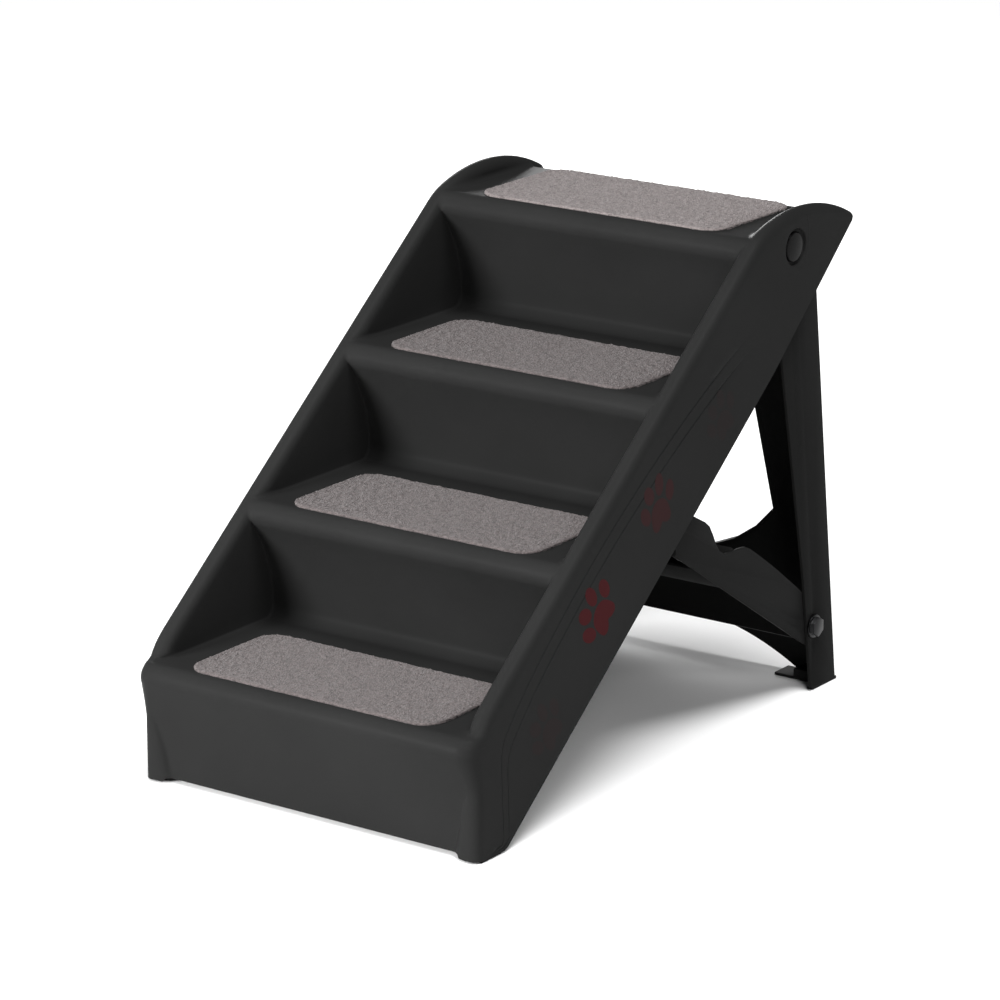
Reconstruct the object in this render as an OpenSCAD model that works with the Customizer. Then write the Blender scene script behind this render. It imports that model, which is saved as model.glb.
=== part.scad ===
// Folding pet stairs: a moulded four-step shell, a hinged rear leg frame and a folding support brace.
// Lengths are millimetres. Width runs along x, depth along y (front is negative), height along z.

/* [Steps] */
// Height of every rise
rise = 120; // [112:1:128]
// Depth from one nose to the next
run = 152; // [144:1:160]
// Height of the first tread's plastic
first_tread = 117.5; // [112:0.5:124]
// Radius of the rounded nose
nose_r = 14; // [11:0.5:17]
// How far a riser lies behind its nose
riser_setback = 32; // [26:1:38]
// How far the lowest riser lies behind its nose
front_setback = 19; // [15:1:24]
// Fillet where a riser meets the tread below
corner_r = 14; // [10:1:18]
// Wall thickness of the moulding
wall = 2.6; // [2.2:0.1:3.2]

/* [Body] */
// Overall width
overall_width = 382; // [360:1:410]
// Width of the rounded side rail
rail_w = 20; // [19.6:0.1:22]
// Thickness of the side skin and rail
skin = 2.5; // [2.2:0.1:2.8]
// Front of the side panels behind the first nose
panel_front = 12; // [8:1:16]
// Height of the rail above the nose line
rail_lift = 1.5; // [0:0.5:4]
// Depth of the side panel across the slope
panel_depth = 119; // [116:1:126]
// Bend of the rail above the front post
front_bend = 70; // [40:1:90]
// Bend where the rail runs into the crest
shoulder_bend = 75; // [50:1:100]
// Radius of the crest at the top
crest_r = 200; // [180:1:230]
// Crest centre behind the last nose
crest_back = 89; // [80:1:100]
// Crest height above the last tread
crest_rise = 17; // [13:0.5:22]
// Length of the top platform with its rear lip
platform_len = 156; // [150:1:165]
// Depth of the rear lip
lip_drop = 20; // [12:1:26]

/* [Mats] */
// Width of every tread mat
mat_w = 280; // [250:1:300]
// Depth of the three lower mats
mat_d = 128; // [118:1:132]
// Depth of the top mat
top_mat_d = 137; // [125:1:138]
// Thickness of the mats
mat_t = 2.5; // [1.5:0.1:4]
// Corner radius of the mats
mat_r = 22; // [10:1:30]
// Mat edge behind the nose front
mat_back = 13; // [11:0.5:16]

/* [Leg frame] */
// Hinge behind the last nose
hinge_back = 70; // [64:1:76]
// Hinge below the last tread
hinge_drop = 17.5; // [16:0.5:20]
// Rear edge of the foot behind the last nose
foot_back = 173.5; // [168:0.5:178]
// Width of the flange at the foot
foot_w = 45; // [40:1:50]
// Lean of the rear web in degrees
web_lean = 7; // [6:0.1:8]
// Thickness of flanges and web
leg_t = 2.8; // [2.4:0.1:3]
// Web's top edge below the last tread
web_drop = 47.5; // [40:0.5:60]
// Radius of the flange round the hinge
hinge_flange_r = 28; // [24:1:30]
// Half width of the window at its lower corners
window_half = 124; // [110:1:130]
// Half width of the window at its top
window_top_half = 94; // [80:1:105]
// Radius of the window's lower arc
window_r = 157; // [145:1:170]
// Radius of the arch between the feet
arch_r = 256; // [230:1:280]
// Height of the arch
arch_top = 46; // [38:1:54]
// Depth of the rim round the window
rim_d = 5; // [3:0.5:6]

/* [Support brace] */
// Height of the brace pivot
pivot_z = 67; // [62:1:72]
// Pivot behind the flange's front edge
pivot_in = 11.5; // [10.5:0.5:14]
// Half depth of the brace
brace_half = 20; // [18:0.5:21]
// Crown of the brace's upper edge
brace_crown = 9; // [6:0.5:10]
// Depth of the dip in the upper edge
dip_d = 18.5; // [12:0.5:20]
// Place of the dip along the brace
dip_at = 199; // [190:1:206]
// Length of the dip
dip_len = 88; // [70:1:96]
// Wall of the brace
brace_t = 2.4; // [2:0.1:2.6]
// End of the raised plate from the pivot
raised_len = 180; // [170:1:190]
// End of the low plate from the pivot
low_len = 236; // [220:1:238]

/* [Hardware] */
// Radius of the hinge bolt
hinge_bolt_r = 5; // [4:0.25:6]
// Radius of the brace bolt
brace_bolt_r = 4; // [3:0.25:5]
// Radius of the hinge cap
cap_r = 14.5; // [12:0.5:16]
// Radius of the brace bolt's washer face
head_r = 11.5; // [9:0.5:12]
// Radius of the latch pegs
peg_r = 4; // [3:0.25:4.5]

/* [Hidden] */
half_w = overall_width / 2;
step_n = 4;
half_share = 0.5;
gap = 0.4;
run_clear = 0.06;
overlap = 0.3;
slope = atan2(rise, run);
platform_back = 178;
depth = run * (step_n - 1) + platform_back;
tread_top = first_tread + rise * (step_n - 1);
nose_line_y = 14;
nose_line_up = 3;
nose_line_z = first_tread + nose_line_up;
sole_t = 2;
riser_gap = 5;
arc_n = 9;
bend_n = 5;
rail_r = rail_w * half_share;
rail_x = half_w - rail_r;
leg_reach = 6;
skin_tuck = 3;
skin_inset = rail_r + skin_tuck;
wall_x0 = half_w - rail_w;
wall_x1 = wall_x0 + skin;
skin_x0 = half_w - skin;
peg_out = 2;
peg_x1 = wall_x1 + peg_out;
hook_x0 = wall_x1 + gap;
cheek_x0 = peg_x1 + gap;
cheek_x1 = cheek_x0 + brace_t;
flange_x0 = cheek_x1 + gap;
flange_x1 = flange_x0 + leg_t;
head_x1 = skin_x0 - gap;

function dirv(a) = [cos(a), sin(a)];
function arc(c, r, a0, a1, n = arc_n) = [for (i = [0:n]) c + r * dirv(a0 + (a1 - a0) * i / n)];
function flip(p) = [for (i = [len(p) - 1:-1:0]) p[i]];

// One riser and its nose: the lean makes the convex nose run smoothly into the concave riser.
function lean(setback, drop) = 2 * atan2(setback, drop - nose_r);
function riser_r(setback, drop) = (drop - nose_r) / sin(lean(setback, drop)) - nose_r;
function tread_z(k) = first_tread + rise * k;
riser_drop = rise - corner_r;
front_drop = first_tread - riser_gap;
function riser_up(k, o) =
    let (front = k == 0, sb = front ? front_setback : riser_setback, dr = front ? front_drop : riser_drop,
         th = lean(sb, dr), rr = riser_r(sb, dr))
    concat(arc([run * k + sb - rr, tread_z(k) - dr], rr + o, 0, th, bend_n),
           arc([run * k + nose_r, tread_z(k) - nose_r], nose_r - o, 180 + th, 90));
function corner(k, o) =
    arc([run * (k + 1) + riser_setback - corner_r, tread_z(k) + corner_r], corner_r + o, -90, 0,
        bend_n);
lip_r = 9;
lip_y = run * (step_n - 1) + platform_len;
function lip(o) =
    concat(arc([lip_y - lip_r, tread_top - lip_r], lip_r - o, 90, 0, bend_n),
           [[lip_y - o, tread_top - lip_drop]]);
function step_line(o) =
    concat(riser_up(0, o), [for (k = [0:step_n - 2]) each concat(corner(k, o), riser_up(k + 1, o))], lip(o));

// Rail ridge: a vertical post, a bend, the slope line, a shoulder and the crest.
ridge_z = nose_line_z + rail_lift;
front_c = [panel_front + front_bend,
    ridge_z + (sin(slope) * (panel_front + front_bend - nose_line_y) - front_bend) / cos(slope)];
crest_c = [run * (step_n - 1) + crest_back, tread_top + crest_rise - crest_r];
crest_sink = sin(slope) * (crest_c.x - nose_line_y) - cos(slope) * (crest_c.y - ridge_z);
shoulder_a = 90 + slope - acos((crest_sink - shoulder_bend) / (crest_r - shoulder_bend));
shoulder_c = crest_c + (crest_r - shoulder_bend) * dirv(shoulder_a);
slope_start = front_c + front_bend * dirv(90 + slope);
slope_end = shoulder_c + shoulder_bend * dirv(90 + slope);
tip_a = 63.5;
tip_past_a = 58;
tip = crest_c + crest_r * dirv(tip_a);
mid_y = tip.x * half_share;
lower_z = nose_line_z - panel_depth / cos(slope);
function lower_at(y) = [y, lower_z + (y - nose_line_y) * tan(slope)];
knee_in = 142;
knee = lower_at(depth - knee_in);
heel_y = nose_line_y + (sole_t - lower_z) / tan(slope);
post_bottom = sole_t;
tip_over = 12;
tip_fall = 24;

function ridge(o) =
    concat([[panel_front + o, post_bottom]],
           arc(front_c, front_bend - o, 180, 90 + slope),
           arc(shoulder_c, shoulder_bend - o, 90 + slope, shoulder_a),
           arc(crest_c, crest_r - o, shoulder_a, tip_past_a));
function panel(o) = concat(ridge(o), [[tip.x + tip_over, tip.y - tip_fall], knee, [heel_y, sole_t]]);

// Hinge, leg and brace places in the side plane.
hinge = [run * (step_n - 1) + hinge_back, tread_top - hinge_drop];
foot_y = run * (step_n - 1) + foot_back;
foot_t = 3;
shin_z = 119;
shin_w = 48;
neck_z = 350;
neck_w = 66.5;
function rear_at(z) = [foot_y - z * tan(web_lean), z];
function front_at(z, w) = rear_at(z) - [w, 0];
pivot = [front_at(pivot_z, (foot_w + shin_w) * half_share).x + pivot_in, pivot_z];
peg_back = 9.8;
peg_down = 21.2;
peg_corner = [run * 2 + riser_setback - corner_r, tread_z(1) + corner_r];
peg = peg_corner + [peg_back, -peg_down];
reach_v = peg - pivot;
brace_l = norm(reach_v);
brace_a = atan2(reach_v.y, reach_v.x);
function on_brace(r, o) = pivot + r * dirv(brace_a) + o * dirv(brace_a - 90);
function brace_pts(q) = [for (p = q) on_brace(p.x, p.y)];

module across(x0, x1) translate([x0, 0, 0]) rotate([90, 0, 90]) linear_extrude(x1 - x0) children();
module both() { children(); mirror([1, 0, 0]) children(); }
module placed() translate([0, -mid_y, 0]) children();
round_fn = 48;
module rod(x0, x1, p, r) translate([x0, p.x, p.y]) rotate([0, 90, 0]) cylinder(h = x1 - x0, r = r, $fn = round_fn);
module bevel(x0, x1, p, r0, r1)
    translate([x0, p.x, p.y]) rotate([0, 90, 0]) cylinder(h = x1 - x0, r1 = r0, r2 = r1, $fn = round_fn);
module hex(x0, x1, p, r) translate([x0, p.x, p.y]) rotate([0, 90, 0]) cylinder(h = x1 - x0, r = r, $fn = 6);

// Rail section: a half-round cap with two short legs, drawn as radius against width. A neighbour's
// section is a hair smaller all round and runs a little way inside it.
past = 2;
below = 60;
far = 60;
hair = 0.1;
hair_wall = hair * 2;
hair_tab = hair * 3;
hair_steps = hair * 4;
tuck = 1;
tuck_a = 0.25;
module rail_cut(base, o) {
    difference() {
        union() {
            translate([base - rail_r, rail_x]) circle(r = rail_r - o, $fn = round_fn);
            translate([base - rail_r - leg_reach, rail_x - rail_r + o]) square([leg_reach, rail_w - o * 2]);
        }
        translate([base - rail_r, rail_x]) circle(r = rail_r - skin + o, $fn = round_fn);
        translate([base - far, rail_x - rail_r + skin - o]) square([far - rail_r, (rail_r - skin + o) * 2]);
        translate([base - far, rail_x - rail_w]) square([far - rail_r - leg_reach, rail_w * 2]);
    }
}
module rail_arc(c, r, a0, a1, o)
    translate([0, c.x, c.y]) rotate([90, 0, 90]) rotate([0, 0, a0])
        rotate_extrude(angle = a1 - a0, $fn = round_fn * 2) rail_cut(r, o);
module rail_line(p, q) {
    t = (q - p) / norm(q - p);
    multmatrix([[0, 1, 0, 0], [-t.y, 0, t.x, p.x - t.x * tuck], [t.x, 0, t.y, p.y - t.y * tuck]])
        linear_extrude(norm(q - p) + tuck * 2) rail_cut(0, hair);
}
module rails() {
    rail_line([panel_front, post_bottom + tuck], [panel_front, front_c.y]);
    rail_arc(front_c, front_bend, 90 + slope, 180, 0);
    rail_line(slope_start, slope_end);
    rail_arc(shoulder_c, shoulder_bend, shoulder_a, 90 + slope, 0);
    rail_arc(crest_c, crest_r, tip_past_a, shoulder_a + tuck_a, hair);
}

// Side of the first nose: the nose section, a hair smaller, swept round a corner in plan.
nose_plan_r = 18.6;
module nose_corner()
    translate([half_w - nose_plan_r, nose_plan_r, 0]) rotate([0, 0, -90])
        rotate_extrude(angle = 90, $fn = round_fn * 2) polygon(concat(
            [[0, first_tread - hair]],
            arc([nose_plan_r - nose_r, first_tread - nose_r], nose_r - hair, 90, -front_lean),
            arc([nose_plan_r - nose_r, first_tread - nose_r], nose_r - wall + hair, -front_lean, 90),
            [[0, first_tread - wall + hair]]));
front_lean = lean(front_setback, front_drop);

// What is cut away behind the tip, along the line from the knee to the tip.
module tail_cut()
    across(-half_w - past, half_w + past) polygon([
        knee + (knee - tip), tip + (tip - knee) * half_share, tip + (tip - knee) * half_share + [below, -below],
        knee + (knee - tip) + [below, -below]]);

// Flared foot of the front post.
post_flare = 10;
post_rise = 92;
post_n = 8;
post_back = front_setback + wall;
post_step = 2;
post_front = panel_front + post_step;
function post_x(s) = wall_x0 - post_flare * pow(1 - s, 2);
module post_web()
    translate([0, post_back, 0]) rotate([90, 0, 0]) linear_extrude(post_back - post_front)
        polygon(concat([for (i = [0:post_n]) [post_x(i / post_n), sole_t + post_rise * i / post_n]],
            [[wall_x1, sole_t + post_rise], [wall_x1, sole_t]]));

recess_r = 18;
recess_d = 4;
spacer_r = 9;
bore_clear = 0.1;
tab_r = 6;
module below_steps()
    polygon(concat(step_line(overlap),
        [[depth + below, tread_top - lip_drop], [depth + below, -below], [-below, -below],
         [-below, riser_gap]]));
module side_panel() {
    across(skin_x0 + hair_wall, half_w - hair_wall) polygon(panel(skin_inset));
    across(wall_x0 + hair_wall, wall_x1 - hair_wall) difference() {
        polygon(panel(skin_inset));
        below_steps();
    }
    across(wall_x0 + hair_tab, wall_x1 - hair_tab) hull() {
        translate(peg) circle(r = tab_r, $fn = round_fn);
        translate(peg_corner) circle(r = corner_r, $fn = round_fn);
    }
    rod(wall_x0, peg_x1, peg, peg_r);
    rod(half_w - recess_d - skin, half_w, hinge, recess_r + skin);
    rod(flange_x1 + gap, half_w - recess_d, hinge, spacer_r);
}
module shell_side() difference() {
    union() {
        rails();
        side_panel();
        nose_corner();
        post_web();
    }
    tail_cut();
    rod(half_w - recess_d, half_w + past, hinge, recess_r);
    rod(flange_x1, half_w, hinge, hinge_bolt_r + bore_clear);
}
module stair_shell() color("dimgray") placed() {
    across(hair_steps - wall_x1, wall_x1 - hair_steps) polygon(concat(step_line(0), flip(step_line(wall))));
    both() shell_side();
}

module tread_mat(k, d)
    color("tan") placed() translate([0, run * k + mat_back, tread_z(k)]) linear_extrude(mat_t) mat_shape(d);
module mat_shape(d)
    polygon(concat(
        arc([mat_w * half_share - mat_r, mat_r], mat_r, -90, 0),
        arc([mat_w * half_share - mat_r, d - mat_r], mat_r, 0, 90),
        arc([mat_r - mat_w * half_share, d - mat_r], mat_r, 90, 180),
        arc([mat_r - mat_w * half_share, mat_r], mat_r, 180, 270)));
module tread_mat_1() tread_mat(0, mat_d);
module tread_mat_2() tread_mat(1, mat_d);
module tread_mat_3() tread_mat(2, mat_d);
module tread_mat_4() tread_mat(3, top_mat_d);

module side(s) placed() mirror([s < 0 ? 1 : 0, 0, 0]) children();

// Hinge hardware, on the right side before mirroring.
hinge_head_r = 8;
hinge_head_t = 2.4;
cap_t = 3.6;
cap_rim = 2.4;
cap_bevel = 2;
washer_t = 1.2;
hinge_washer_r = 10;
hinge_nut_r = 9;
hinge_nut_t = 6;
tail_t = 1.5;
module hinge_cap() difference() {
    union() {
        rod(half_w - recess_d, half_w - recess_d + cap_rim, hinge, cap_r);
        bevel(half_w - recess_d + cap_rim, half_w - recess_d + cap_t, hinge, cap_r, cap_r - cap_bevel);
    }
    rod(half_w - recess_d - past, half_w - recess_d + hinge_head_t + overlap, hinge, hinge_head_r + overlap);
}
module hinge_bolt() {
    rod(half_w - recess_d, half_w - recess_d + hinge_head_t, hinge, hinge_head_r);
    rod(flange_x0 - gap - washer_t - hinge_nut_t - tail_t, half_w - recess_d + hinge_head_t, hinge,
        hinge_bolt_r);
}
module hinge_washer() difference() {
    rod(flange_x0 - gap - washer_t, flange_x0 - gap, hinge, hinge_washer_r);
    rod(flange_x0 - gap - washer_t - past, flange_x0, hinge, hinge_bolt_r + bore_clear);
}
module hinge_nut() difference() {
    hex(flange_x0 - gap - washer_t - hinge_nut_t, flange_x0 - gap - washer_t, hinge, hinge_nut_r);
    rod(flange_x0 - gap - washer_t - hinge_nut_t - past, flange_x0, hinge, hinge_bolt_r);
}
module hinge_cap_right() color("black") side(1) hinge_cap();
module hinge_cap_left() color("black") side(-1) hinge_cap();
module hinge_bolt_right() color("silver") side(1) hinge_bolt();
module hinge_bolt_left() color("silver") side(-1) hinge_bolt();
module hinge_washer_right() color("silver") side(1) hinge_washer();
module hinge_washer_left() color("silver") side(-1) hinge_washer();
module hinge_nut_right() color("silver") side(1) hinge_nut();
module hinge_nut_left() color("silver") side(-1) hinge_nut();

// Front feet: rubber soles plugged into the posts.
plug_h = 10;
sole_front_in = 8;
sole_back_in = 6;
plug_front_in = 10;
plug_back_in = 12;
sole_y0 = panel_front + sole_front_in;
sole_y1 = heel_y - sole_back_in;
plug_y0 = panel_front + plug_front_in;
plug_y1 = heel_y - plug_back_in;
module front_foot() {
    translate([wall_x1, sole_y0, 0]) cube([skin_x0 - wall_x1 + skin * half_share, sole_y1 - sole_y0, sole_t]);
    translate([wall_x1 + gap, plug_y0, 0]) cube([skin_x0 - wall_x1 - gap * 2, plug_y1 - plug_y0, plug_h]);
}
module front_foot_right() color("black") side(1) front_foot();
module front_foot_left() color("black") side(-1) front_foot();

// Leg frame: two flanges joined by a windowed rear web.
flange_low_angle = 8;
flange_top_angle = 188;
web_top = tread_top - web_drop;
window_low = 115;
window_head = 45;
window_top = web_top - window_head;
rim_t = 2.4;
function window(o) =
    let (a = asin((window_half + o) / (window_r + o)))
    concat(arc([0, window_low + window_r], window_r + o, -90 - a, -90 + a),
           [[window_top_half + o, window_top + o], [-window_top_half - o, window_top + o]]);
module leg_frame() color("dimgray") placed() difference() {
    union() {
        both() across(flange_x0, flange_x1) polygon(concat(
            arc(hinge, hinge_flange_r, flange_low_angle, flange_top_angle),
            [front_at(neck_z, neck_w), front_at(shin_z, shin_w), front_at(foot_t, foot_w),
             rear_at(foot_t), rear_at(web_top)]));
        difference() {
            translate([0, foot_y, 0]) rotate([90 + web_lean, 0, 0]) {
                linear_extrude(leg_t) difference() {
                    translate([-flange_x0 - leg_t * half_share, 0])
                        square([flange_x0 * 2 + leg_t, web_top / cos(web_lean)]);
                    polygon(window(0));
                    translate([0, arch_top - arch_r]) circle(r = arch_r, $fn = round_fn * 2);
                }
                linear_extrude(leg_t + rim_d) difference() {
                    polygon(window(rim_t));
                    polygon(window(0));
                }
            }
            translate([-half_w, foot_y - below, -below]) cube([half_w * 2, below * 2, below + foot_t]);
        }
    }
    both() {
        rod(flange_x0 - past, flange_x1 + past, hinge, hinge_bolt_r + run_clear);
        rod(flange_x0 - past, flange_x1 + past, pivot, brace_bolt_r + bore_clear);
    }
}

// Rear feet: soles under the leg frame with a block behind each flange.
foot_len = 55.5;
block_len = 30.3;
foot_in = flange_x1 - foot_len;
block_in = flange_x0 - gap - block_len;
block_h = 11;
sole_in = 3;
rear_sole_d = 24;
sole_y = foot_y - rear_sole_d;
module rear_foot() {
    translate([foot_in, sole_y, 0]) cube([foot_len, foot_y + sole_t - sole_y, foot_t]);
    translate([flange_x0 - sole_in, foot_y - foot_w + sole_in, 0])
        cube([leg_t + sole_in, foot_w, foot_t]);
    translate([block_in, sole_y, 0]) cube([block_len, foot_y - sole_y - leg_t * 2, block_h]);
}
module rear_foot_right() color("black") side(1) rear_foot();
module rear_foot_left() color("black") side(-1) rear_foot();

// Support brace: two cheeks joined by a raised plate, a step and a low plate.
hook_r = 12;
hook_top_angle = 60;
hook_low_angle = -65;
slot_play = 0.45;
slot_len = 27;
slot_a = -133;
slot_mouth = 8;
slot_lip = 3;
edge_n = 28;
hook_from = 262;
cheek_from = 8;
top_in = 6;
rear_wall_at = 20;
function dip(r) = abs(r - dip_at) < dip_len * half_share
    ? dip_d * (1 + cos(360 * (r - dip_at) / dip_len)) * half_share : 0;
function top_edge(r) = brace_half + brace_crown * sin(180 * r / brace_l) - dip(r);
function cheek_edge(r0) = let (r1 = brace_l - top_in)
    [for (i = [0:edge_n]) let (r = r0 + (r1 - r0) * i / edge_n) [r, top_edge(r)]];
module hook_end() polygon(brace_pts(concat(cheek_edge(hook_from),
    arc([brace_l, 0], hook_r, hook_top_angle, hook_low_angle),
    [[brace_l - slot_lip, -brace_half], [hook_from, -brace_half]])));
module cheek() difference() {
    union() {
        across(cheek_x0, cheek_x1) {
            polygon(brace_pts(concat(arc([0, 0], brace_half, 270, 90), cheek_edge(cheek_from),
                [[brace_l - hook_r, -brace_half]])));
            hook_end();
        }
        across(hook_x0, cheek_x0 + overlap) hook_end();
    }
    rod(cheek_x0 - past, cheek_x1 + past, pivot, brace_bolt_r + run_clear);
    across(hook_x0 - past, cheek_x1 + past) hull() {
        translate(peg) circle(r = peg_r + slot_play, $fn = round_fn);
        translate(on_brace(brace_l + slot_len * cos(slot_a), slot_len * sin(slot_a)))
            circle(r = slot_mouth, $fn = round_fn);
    }
}
module slab(r0, r1, o0, o1)
    across(-cheek_x0 - overlap, cheek_x0 + overlap)
        polygon(brace_pts([[r0, o0], [r1, o0], [r1, o1], [r0, o1]]));
module support_brace() color("dimgray") placed() {
    both() cheek();
    slab(rear_wall_at, raised_len, brace_half - brace_t, brace_half);
    slab(rear_wall_at, rear_wall_at + brace_t, -brace_half, brace_half);
    slab(raised_len, raised_len + brace_t, -brace_half, brace_half);
    slab(raised_len, low_len, -brace_half, brace_t - brace_half);
}

// Brace pivot hardware, on the right side before mirroring.
head_flange_t = 2.2;
brace_head_r = 10;
brace_nut_r = 7.5;
brace_nut_t = 4.5;
brace_washer_r = 8;
module brace_bolt() {
    rod(flange_x1, flange_x1 + head_flange_t, pivot, head_r);
    hex(flange_x1, head_x1, pivot, brace_head_r);
    rod(cheek_x0 - gap - washer_t - brace_nut_t - tail_t, flange_x1 + head_flange_t, pivot, brace_bolt_r);
}
module brace_washer() difference() {
    rod(cheek_x0 - gap - washer_t, cheek_x0 - gap, pivot, brace_washer_r);
    rod(cheek_x0 - gap - washer_t - past, cheek_x0, pivot, brace_bolt_r + bore_clear);
}
module brace_nut() difference() {
    hex(cheek_x0 - gap - washer_t - brace_nut_t, cheek_x0 - gap - washer_t, pivot, brace_nut_r);
    rod(cheek_x0 - gap - washer_t - brace_nut_t - past, cheek_x0, pivot, brace_bolt_r);
}
module brace_bolt_right() color("gray") side(1) brace_bolt();
module brace_bolt_left() color("gray") side(-1) brace_bolt();
module brace_washer_right() color("silver") side(1) brace_washer();
module brace_washer_left() color("silver") side(-1) brace_washer();
module brace_nut_right() color("silver") side(1) brace_nut();
module brace_nut_left() color("silver") side(-1) brace_nut();

stair_shell();
tread_mat_1();
tread_mat_2();
tread_mat_3();
tread_mat_4();
hinge_cap_right();
hinge_cap_left();
hinge_bolt_right();
hinge_bolt_left();
hinge_washer_right();
hinge_washer_left();
hinge_nut_right();
hinge_nut_left();
front_foot_right();
front_foot_left();
leg_frame();
rear_foot_right();
rear_foot_left();
support_brace();
brace_bolt_right();
brace_bolt_left();
brace_washer_right();
brace_washer_left();
brace_nut_right();
brace_nut_left();
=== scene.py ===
"""Studio scene of folding pet stairs: moulded shell, carpeted treads, hinged leg frame and support brace."""

import logging
import math
from dataclasses import dataclass, field
from enum import Enum

import bmesh
import bpy
import numpy as np
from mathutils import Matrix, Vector


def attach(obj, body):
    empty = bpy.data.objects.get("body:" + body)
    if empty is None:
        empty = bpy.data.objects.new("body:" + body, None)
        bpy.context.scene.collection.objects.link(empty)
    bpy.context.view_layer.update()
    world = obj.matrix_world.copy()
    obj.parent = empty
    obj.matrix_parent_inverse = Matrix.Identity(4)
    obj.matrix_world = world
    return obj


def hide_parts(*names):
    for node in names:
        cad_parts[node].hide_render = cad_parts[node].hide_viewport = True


log = logging.getLogger("pet_stairs")
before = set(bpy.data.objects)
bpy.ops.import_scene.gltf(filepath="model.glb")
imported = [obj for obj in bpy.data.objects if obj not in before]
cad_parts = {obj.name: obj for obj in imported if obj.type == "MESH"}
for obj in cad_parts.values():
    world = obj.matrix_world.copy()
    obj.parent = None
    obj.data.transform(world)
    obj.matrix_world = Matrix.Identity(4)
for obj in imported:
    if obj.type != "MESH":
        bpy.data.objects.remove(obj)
MM = 0.001
TINY = 1e-9
SMALL = 1e-6
MERGE_FINE = 0.001 * MM
Colour = tuple[float, float, float]
Place = tuple[float, float, float]


class Side(Enum):
    """The two sides of the stairs, as a sign on x."""

    RIGHT = 1
    LEFT = -1

    @property
    def word(self) -> str:
        """The side's name in lower case."""
        return self.name.lower()


def direction(angle: np.ndarray | float) -> np.ndarray:
    """Unit vectors in the side plane at angles in radians, counted from +Y towards +Z."""
    return np.stack([np.cos(angle), np.sin(angle)], axis=-1)


def arc(centre: np.ndarray, radius: float, start: float, end: float, count: int) -> np.ndarray:
    """Points on a circle in the side plane.

    Args:
        centre: circle centre as (y, z).
        radius: circle radius.
        start: first angle in degrees.
        end: last angle in degrees.
        count: number of steps.

    Returns:
        An array of count + 1 points: centre plus radius times the direction of each angle.
    """
    angles = np.radians(np.linspace(start, end, count + 1))
    return np.asarray(centre) + radius * direction(angles)


def line(start: np.ndarray, end: np.ndarray, count: int) -> np.ndarray:
    """Evenly spaced points between two points, without either end."""
    share = np.linspace(0.0, 1.0, count + 2)[1:-1, None]
    return np.asarray(start) * (1 - share) + np.asarray(end) * share


def spline(points: np.ndarray, count: int) -> np.ndarray:
    """Samples of a smooth curve near the given points.

    Args:
        points: control points, (n, k).
        count: number of samples.

    Returns:
        The samples, (count, k): the uniform cubic B-spline whose weights are cubic in the place between two
        control points, with the ends mirrored so that it starts and ends on them.
    """
    points = np.asarray(points, dtype=float)
    padded = np.concatenate([2 * points[:1] - points[1:2], points, 2 * points[-1:] - points[-2:-1]])
    place = np.linspace(0, len(points) - 1 - TINY, count)
    first = np.floor(place).astype(int)
    t = (place - first)[:, None]
    weights = [(1 - t) ** 3, 3 * t**3 - 6 * t**2 + 4, -3 * t**3 + 3 * t**2 + 3 * t + 1, t**3]
    return sum(weight * padded[first + i] for i, weight in enumerate(weights)) / 6


def mesh_object(name: str, points: np.ndarray, faces: np.ndarray) -> bpy.types.Object:
    """Makes a smooth-shaded mesh object at the origin.

    Args:
        name: object name.
        points: vertex places, (n, 3), in metres in the row frame.
        faces: vertex numbers of the quads or triangles, (m, 4) or (m, 3).

    Returns:
        The new object, linked to the scene.
    """
    mesh = bpy.data.meshes.new(name)
    mesh.from_pydata(points.tolist(), [], faces.tolist())
    mesh.update()
    mesh.shade_smooth()
    made = bpy.data.objects.new(name, mesh)
    bpy.context.scene.collection.objects.link(made)
    return made


def grid_faces(rows: int, columns: int, closed: bool = False) -> np.ndarray:
    """Quads of a grid whose vertices are numbered row by row.

    Args:
        rows: number of vertex rows.
        columns: number of vertex columns.
        closed: whether the last column joins the first.

    Returns:
        The quads, (n, 4).
    """
    across = columns if closed else columns - 1
    i, j = np.meshgrid(np.arange(rows - 1), np.arange(across), indexing="ij")
    following = (j + 1) % columns
    quads = [i * columns + j, i * columns + following, (i + 1) * columns + following, (i + 1) * columns + j]
    return np.stack(quads, axis=-1).reshape(-1, 4)


def clean(obj: bpy.types.Object, distance: float = 0.02 * MM, outward: bool = False) -> None:
    """Merges doubled vertices and drops empty faces.

    Args:
        obj: the mesh object.
        distance: how near two vertices are merged.
        outward: whether all faces are turned outward.
    """
    work = bmesh.new()
    work.from_mesh(obj.data)
    bmesh.ops.remove_doubles(work, verts=work.verts, dist=distance)
    bmesh.ops.dissolve_degenerate(work, edges=work.edges, dist=distance * 0.5)
    if outward:
        bmesh.ops.recalc_face_normals(work, faces=work.faces)
    work.to_mesh(obj.data)
    work.free()
    obj.data.update()


def bake(obj: bpy.types.Object) -> None:
    """Applies all of an object's modifiers to its mesh.

    Args:
        obj: the object, which is left without modifiers.
    """
    graph = bpy.context.evaluated_depsgraph_get()
    done = bpy.data.meshes.new_from_object(obj.evaluated_get(graph), depsgraph=graph)
    obj.modifiers.clear()
    obj.data = done


def sharpen(obj: bpy.types.Object, degrees: float = 32.0) -> None:
    """Smooth shading that breaks at edges sharper than the angle."""
    obj.data.shade_smooth()
    obj.data.set_sharp_from_angle(angle=math.radians(degrees))


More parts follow.
